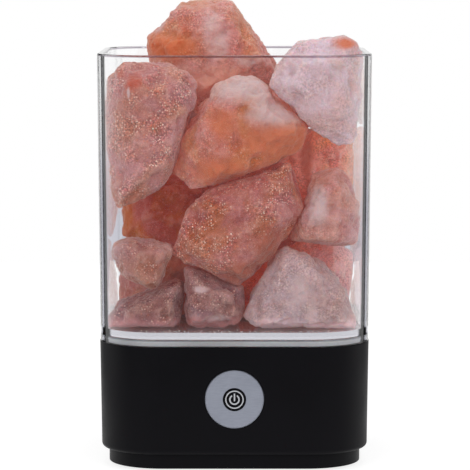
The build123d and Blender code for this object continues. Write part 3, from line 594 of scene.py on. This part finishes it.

# %% [markdown]
# ## The stones' colours
# A stone that is seen takes a tone of its own, with its own frost and glint, and a few blots. Some are
# stains at the places where the real stone has them: rust, orange hearts, milky patches. Others are painted
# light and shade: a painted glint, a painted shadow, painted shade in a cleft, a lighter orange patch that
# is partly painted light, and painted light along the feet of the floor stones to lift their shade.

# %% Stone colours
RUST = (0.45, 0.07, 0.03)
ORANGE = (0.6, 0.155, 0.06)
# The stone's own orange, made lighter as painted light where the summit's lower part lies in shade.
PEACH_AND_PAINTED_LIGHT = (0.74, 0.34, 0.26)
# Painted shade in a cleft of the right middle stone.
PAINTED_CLEFT_SHADE = (0.52, 0.16, 0.1)
EARTH = (0.38, 0.1, 0.055)
# Painted shadow on the top of the floor middle stone.
PAINTED_SHADOW = (0.26, 0.07, 0.05)
# Milky patches; on the upper right stone one of them is a painted glint.
MILK_AND_PAINTED_GLINT = (0.6, 0.43, 0.43)
PALE = (0.68, 0.47, 0.46)
# Painted light along the stones' feet, to lift the shade where they turn under.
MAUVE_PAINTED_LIGHT = (0.6, 0.26, 0.27)
ROSE_PAINTED_LIGHT = (0.58, 0.22, 0.22)
WHITE_PAINTED_LIGHT = (0.95, 0.64, 0.67)
ROUND, WIDE = (1.0, 0.3, 1.0), (0.6, 0.3, 1.4)
UPRIGHT, TALL = (1.3, 0.3, 0.8), (1.5, 0.3, 0.7)
CLEFT, STREAK = (1.7, 0.3, 0.45), (2.2, 0.3, 0.6)
FOOT = (0.08, 0.08, 1.0)
stones = {
    "summit": dict(tone=(0.6, 0.275, 0.23), frost=0.5, glint=0.3, stains=[
        (PALE, (-7, 0, 158), 8, UPRIGHT),
        (ORANGE, (-26, 0, 154), 9, WIDE),
        (RUST, (-18, 0, 162), 3.5, ROUND),
        (MILK_AND_PAINTED_GLINT, (-29, 0, 162), 3, ROUND),
        (MILK_AND_PAINTED_GLINT, (6, -5, 149), 3.5, WIDE),
        # orange, partly painted light on the shaded lower part
        (PEACH_AND_PAINTED_LIGHT, (-5, -10, 142), 9, WIDE),
    ]),
    "upper_left": dict(tone=(0.47, 0.182, 0.162), frost=1.0, glint=1.0, stains=[
        (RUST, (-41.5, -44, 145.6), 2.2, ROUND),
        (RUST, (-36.4, -44, 142.7), 3, ROUND),
        (MILK_AND_PAINTED_GLINT, (-38, -44, 139), 1.3, STREAK),
    ]),
    "upper_middle": dict(tone=(0.56, 0.185, 0.11), frost=0.35, glint=0.5, stains=[
        (MILK_AND_PAINTED_GLINT, (4, -42, 141), 10, WIDE),
        (MILK_AND_PAINTED_GLINT, (17, -42, 131), 8, WIDE),
        (ORANGE, (15.5, -42, 120.7), 11, WIDE),
        (ORANGE, (-4.5, -42, 128), 6, ROUND),
        (ORANGE, (-3, -42, 110), 8, WIDE),
    ]),
    "upper_right": dict(tone=(0.69, 0.56, 0.66), frost=0.35, glint=0.3, stains=[
        (ORANGE, (41, -42, 156.8), 3.4, WIDE),
        # painted glint
        (MILK_AND_PAINTED_GLINT, (37, -44, 148.8), 3, ROUND),
    ]),
    "middle": dict(tone=(0.415, 0.105, 0.066), frost=0.9, glint=1.0, stains=[
        (EARTH, (12, -45, 83), 8, ROUND),
        (EARTH, (2, -45, 74), 6, ROUND),
    ]),
    "right": dict(tone=(0.51, 0.222, 0.21), frost=0.3, glint=0.3, stains=[
        (MILK_AND_PAINTED_GLINT, (30.5, -44, 98), 5, TALL),
    ]),
    "lower_left": dict(tone=(0.36, 0.143, 0.123), frost=0.55, glint=0.5),
    "floor_left": dict(tone=(0.25, 0.1, 0.105), frost=1.0, glint=0.6, stains=[
        (MILK_AND_PAINTED_GLINT, (-21, -43, 70), 2.2, TALL),
        # painted light along the foot
        (MAUVE_PAINTED_LIGHT, (-33, -43, 51.7), 4.5, FOOT),
    ]),
    "floor_middle": dict(tone=(0.235, 0.078, 0.083), frost=0.6, glint=0.3, stains=[
        (MILK_AND_PAINTED_GLINT, (-12.6, -43, 67), 1.8, WIDE),
        (MILK_AND_PAINTED_GLINT, (-6.4, -43, 55.8), 2.6, WIDE),
        # painted shadow along the stone's top
        (PAINTED_SHADOW, (-9.7, -43, 75), 5, WIDE),
        # painted light along the foot
        (ROSE_PAINTED_LIGHT, (-9, -43, 51.7), 4.5, FOOT),
    ]),
    "floor_right": dict(tone=(0.47, 0.335, 0.365), frost=0.5, glint=0.5, stains=[
        (MILK_AND_PAINTED_GLINT, (24, -45, 67), 6, TALL),
        (MILK_AND_PAINTED_GLINT, (28, -45, 58), 4, TALL),
        # painted light along the foot
        (WHITE_PAINTED_LIGHT, (25, -43, 51.7), 4.5, FOOT),
    ]),
    "left_middle": dict(tone=(0.45, 0.088, 0.02), frost=0.15, glint=0.2),
    "left_floor": dict(tone=(0.42, 0.15, 0.11), frost=0.2, glint=0.3),
    "right_middle": dict(tone=(0.86, 0.45, 0.36), frost=0.6, glint=0.3, stains=[
        # painted shade in the cleft
        (PAINTED_CLEFT_SHADE, (27.5, -8, 113), 4.5, CLEFT),
    ]),
    "right_floor": dict(tone=(0.78, 0.48, 0.52), frost=0.5, glint=0.3),
}
print("stones with a tone of their own:", len(stones))

# %% [markdown]
# ## Chips
# The CAD solid of a stone is a plain many-sided lump that says where it lies. A real one was split with a
# hammer, so some corners are knocked off first, with cutting planes close to the surface.

# %% Chips
BLOWS = 6
CHIP_DEPTH = (0.0004, 0.0014)


def struck(bm, rng):
    """Knocks chips off a closed lump with flat cuts near its surface."""
    middle = sum((v.co for v in bm.verts), Vector()) / len(bm.verts)
    for blow in range(BLOWS):
        aim = Vector((rng.gauss(0, 1), rng.gauss(0, 1), rng.gauss(0, 1))).normalized()
        reach = max((v.co - middle).dot(aim) for v in bm.verts)
        cut = middle + aim * (reach - rng.uniform(*CHIP_DEPTH))
        every = bm.verts[:] + bm.edges[:] + bm.faces[:]
        sliced = bmesh.ops.bisect_plane(bm, geom=every, plane_co=cut, plane_no=aim, clear_outer=True)
        rim = [e for e in sliced["geom_cut"] if isinstance(e, bmesh.types.BMEdge)]
        bmesh.ops.edgeloop_fill(bm, edges=rim)


print("chips:", BLOWS, "for each stone")

# %% [markdown]
# ## Skin
# The skin of a broken stone is many things at once: tilted plates like split crystal, slow swells and
# waves, small square steps where it crumbled, and a fine roughness. Their sum moves the skin in or out.
# Dents and nicks come on top of that, after the stone's flat sides are cut, so that its outline is broken
# too. All of it is noise that is shifted by the stone's number, so it is the same each time. The tilt of a
# plate comes from three single noise values, because the ready-made noise vector changes from run to run.
# All sizes here are in millimetres.

# %% Skin
PLATE_SIZE, PLATE_RISE = 13, 2.2
SWELL_SIZE, SWELL_RISE = 15, 1.5
WAVE_SIZE, WAVE_RISE = 6.5, 1.0
CRUMBLED_SIZE = 9
STEP_SIZE, STEP_DROP = 3.6, -1.2
ROUGH_SIZE, ROUGH_RISE = 3.4, 0.36
DEEPEST = -2.4
DENT_SIZE, DENT_DEPTH = 5.6, 2.5
NICK_SIZE, NICK_DEPTH = 1.9, 0.8
PLATE_PICK, STEP_PICK = 5.3, 9.1
TILT_SHIFT_Y, TILT_SHIFT_Z = Vector((31.4, 2.7, 9.1)), Vector((12.6, 47.3, 5.9))


def weathered(point, seed, grown):
    """How far the skin moves at a point, in metres: less than nothing is inwards."""
    here = point * MM_PER_M + Vector((seed * 17.3, seed * 5.1, -seed * 9.7))
    spans, cells = noise.voronoi(here / PLATE_SIZE)
    pick = cells[0] * PLATE_PICK
    tilt = Vector((noise.noise(pick), noise.noise(pick + TILT_SHIFT_Y), noise.noise(pick - TILT_SHIFT_Z)))
    whole = min(1.0, (spans[1] - spans[0]) * 4)
    plate = PLATE_RISE * (here / PLATE_SIZE - cells[0]).dot(tilt) * whole
    swell = SWELL_RISE * noise.noise(here / SWELL_SIZE)
    wave = WAVE_RISE * noise.noise(here / WAVE_SIZE)
    crumbled = min(1.0, max(0.1, 2.4 * noise.noise(here / CRUMBLED_SIZE) + 0.2))
    block = noise.voronoi(here / STEP_SIZE, distance_metric="CHEBYCHEV")[1][0]
    steps = STEP_DROP * crumbled * abs(noise.noise(block * STEP_PICK))
    rough = ROUGH_RISE * noise.fractal(here / ROUGH_SIZE, 0.9, 2.1, 4)
    return max(DEEPEST, plate + swell + wave + steps + rough + grown) / MM_PER_M


def dented(point, seed):
    """How deep the dents and nicks are at a point, in metres."""
    here = point * MM_PER_M + Vector((seed * 3.1, -seed * 7.7, seed * 11.9))
    dent = DENT_DEPTH * max(0.0, noise.noise(here / DENT_SIZE) - 0.05)
    nick = NICK_DEPTH * abs(noise.noise(here / NICK_SIZE))
    return (dent + nick) / MM_PER_M


print("skin: weathered and dented")

# %% [markdown]
# ## Edges and hollows
# The finish paints salt paler along an edge, partly as frost and partly as painted light glowing through
# the thin edge, and deeper in a hollow as painted shade. Each point of a stone is compared with the same
# point after much smoothing: what stands out is an edge, what lies deeper is a hollow. The number is
# stored on the mesh for the finish to use.

# %% Edges and hollows
EDGE_PASSES = 20
EDGE_RANGE = 0.0012


def smoothed(bm, passes):
    for turn in range(passes):
        bmesh.ops.smooth_vert(
            bm, verts=bm.verts, factor=0.5, use_axis_x=True, use_axis_y=True, use_axis_z=True
        )


def note_edges(bm):
    """Stores how far each point stands out of the smoothed stone: above a half on edges, below in hollows."""
    bm.normal_update()
    kept = [(v.co.copy(), v.normal.copy()) for v in bm.verts]
    smoothed(bm, EDGE_PASSES)
    edge = bm.verts.layers.float.new("edge")
    for vert, (co, normal) in zip(bm.verts, kept):
        vert[edge] = 0.5 + (co - vert.co).dot(normal) / EDGE_RANGE
        vert.co = co


print("edges: noted after", EDGE_PASSES, "passes of smoothing")

# %% [markdown]
# ## Room in the cup
# A stone may touch the cup but not go into it. A line from the stone's middle through each point finds
# the cup's inner face, and a point that has come too near is drawn back along that line.

# %% Room in the cup
FLOOR_GAP, WALL_GAP = 0.00008, 0.0003
LEVEL, GRAZING = 0.9, 0.2
cup_skin = BVHTree.FromObject(frame["nodes"]["clear_cup"], bpy.context.evaluated_depsgraph_get())


def held_off(co, middle):
    """Moves a point of a stone back along its line to the middle if it has come too near to the cup."""
    way = (co - middle).normalized()
    hit, normal, face, far = cup_skin.ray_cast(middle, way)
    if hit is None:
        return co
    gap = FLOOR_GAP if normal.z > LEVEL else WALL_GAP
    reach = far - gap / max(GRAZING, abs(way.dot(normal)))
    return middle + way * min(reach, (co - middle).length)


print("gaps to the cup:", FLOOR_GAP, WALL_GAP)

# %% [markdown]
# ## Stones
# Each stone starts from its CAD solid. After the blows a voxel remesh gives an even skin that can be
# moved. On the way in it may go a few millimetres. On the way out it is cut off flat, between 0.5 and 1.6
# millimetres outside the solid's own sides and level with its foot, so it keeps its place and its outline.
# Stones that touch may run into each other by that much. Those that are seen have a finer skin than the rest.

# %% Break the stones
WELD = 0.00002
FLAT_ANGLE = math.radians(2)
FINE_VOXEL, COARSE_VOXEL = 0.0007, 0.001
SKIN_PASSES = 6
GROWN = {
    "summit": 0.2,
    "upper_right": 0.8,
    "upper_middle": 0.9,
    "right_middle": 1.3,
    "left_floor": 1.2,
    "right_floor": 1.2,
    "lower_left": 0.9,
}
GROWN_ELSE = 0.7
SPARE_ROOM = 0.3


def broken_stone(node, seed, voxel, grown):
    bm = bmesh.new()
    bm.from_mesh(frame["nodes"][node].data)
    bmesh.ops.remove_doubles(bm, verts=bm.verts, dist=WELD)
    bmesh.ops.dissolve_limit(bm, angle_limit=FLAT_ANGLE, verts=bm.verts, edges=bm.edges)
    sides = [(face.normal.copy(), face.verts[0].co.copy()) for face in bm.faces]
    struck(bm, random.Random(seed))
    stone = keep(bm, node.replace("salt_rock", "stone"))
    skin = stone.modifiers.new("skin", "REMESH")
    skin.mode = "VOXEL"
    skin.voxel_size = voxel
    even = bpy.data.meshes.new_from_object(stone.evaluated_get(bpy.context.evaluated_depsgraph_get()))
    stone.modifiers.clear()
    bm = bmesh.new()
    bm.from_mesh(even)
    bpy.data.meshes.remove(even)
    smoothed(bm, SKIN_PASSES)
    bm.normal_update()
    middle = sum((v.co for v in bm.verts), Vector()) / len(bm.verts)
    moved = [v.co + v.normal * weathered(v.co, seed, grown) for v in bm.verts]
    dents = [v.normal * dented(v.co, seed) for v in bm.verts]
    for vert, co, dent in zip(bm.verts, moved, dents):
        for normal, point in sides:
            room = 0.0 if normal.z < -LEVEL else (grown + SPARE_ROOM) / MM_PER_M
            co -= normal * max(0.0, (co - point).dot(normal) - room)
        vert.co = held_off(co - dent, middle)
    note_edges(bm)
    for face in bm.faces:
        face.smooth = True
    bm.to_mesh(stone.data)
    bm.free()
    return stone


kind_of = {part["node"]: part["material_slot"] for part in frame["record"]["subparts"]}
heap = []
for seed, node in enumerate(sorted(n for n in frame["nodes"] if n.startswith("salt_rock_")), start=1):
    where = node.replace("salt_rock_", "")
    voxel = FINE_VOXEL if where in stones else COARSE_VOXEL
    stone = broken_stone(node, seed, voxel, GROWN.get(where, GROWN_ELSE))
    finish = dict(tone=SALTS[kind_of[node]]) | stones.get(where, {})
    stone.data.materials.clear()
    stone.data.materials.append(salt_finish("salt_" + where, **finish))
    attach(stone, "cup")
    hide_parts(node)
    heap.append(stone)
print("stones:", len(heap), "with", sum(len(s.data.polygons) for s in heap), "faces")

# %% [markdown]
# ## Crumbs
# Salt sheds crumbs, and they gather on the cup's floor along the front wall. Each is a tiny squashed lump
# of twenty faces. A crumb is left out where a stone already lies, and in the cup's round corners.

# %% Crumbs
CRUMBS, TRIES = 70, 2600
CRUMB_SIZE = (0.00018, 0.00034)
CRUMB_SIDE = 0.043
FRONT_ROW, SPREAD = -0.0467, 0.002
CORNER_LIMIT = 0.0805
SQUASH, LUMPY = 0.6, (0.7, 1.25)
SEARCH, CLEARANCE = 0.02, 0.8
CRUMB_TONE = (0.85, 0.76, 0.74)

floor_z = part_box("salt_rock_floor_left")[0][2]
trees = [BVHTree.FromObject(s, bpy.context.evaluated_depsgraph_get()) for s in heap]


def lies_in_a_stone(spot, size):
    for tree in trees:
        co, normal, face, gap = tree.find_nearest(spot, SEARCH)
        if co is not None and (gap < size * CLEARANCE or (spot - co).dot(normal) < 0):
            return True
    return False


rng = random.Random(7)
bm = bmesh.new()
count = 0
for attempt in range(TRIES):
    size = rng.uniform(*CRUMB_SIZE)
    across = rng.uniform(-CRUMB_SIDE, CRUMB_SIDE)
    spot = Vector((across, FRONT_ROW + abs(rng.gauss(0, SPREAD)), floor_z + size * SQUASH))
    if abs(spot.x) + abs(spot.y) > CORNER_LIMIT or lies_in_a_stone(spot, size):
        continue
    lump = bmesh.ops.create_icosphere(bm, subdivisions=1, radius=size)["verts"]
    for vert in lump:
        vert.co *= rng.uniform(*LUMPY)
        vert.co.z *= SQUASH
    bmesh.ops.translate(bm, vec=spot, verts=lump)
    count += 1
    if count >= CRUMBS:
        break
crumbs = keep(bm, "salt_crumbs")
crumbs.data.materials.append(salt_finish("salt_crumb", CRUMB_TONE, frost=0.8, glint=0.8))
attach(crumbs, "cup")
print("crumbs:", count)

# %% [markdown]
# ## Dress the CAD pieces
# The housing, the button, the boards and the other hard pieces are right as they were drawn, so they keep
# their CAD meshes. Each one only swaps its plain material for the finish of its slot.

# %% Dress the CAD pieces
dressed = 0
for node, slot in kind_of.items():
    for holder in frame["nodes"][node].material_slots:
        holder.material = finishes[slot]
        dressed += 1
print("dressed:", dressed, "material slots of CAD pieces")
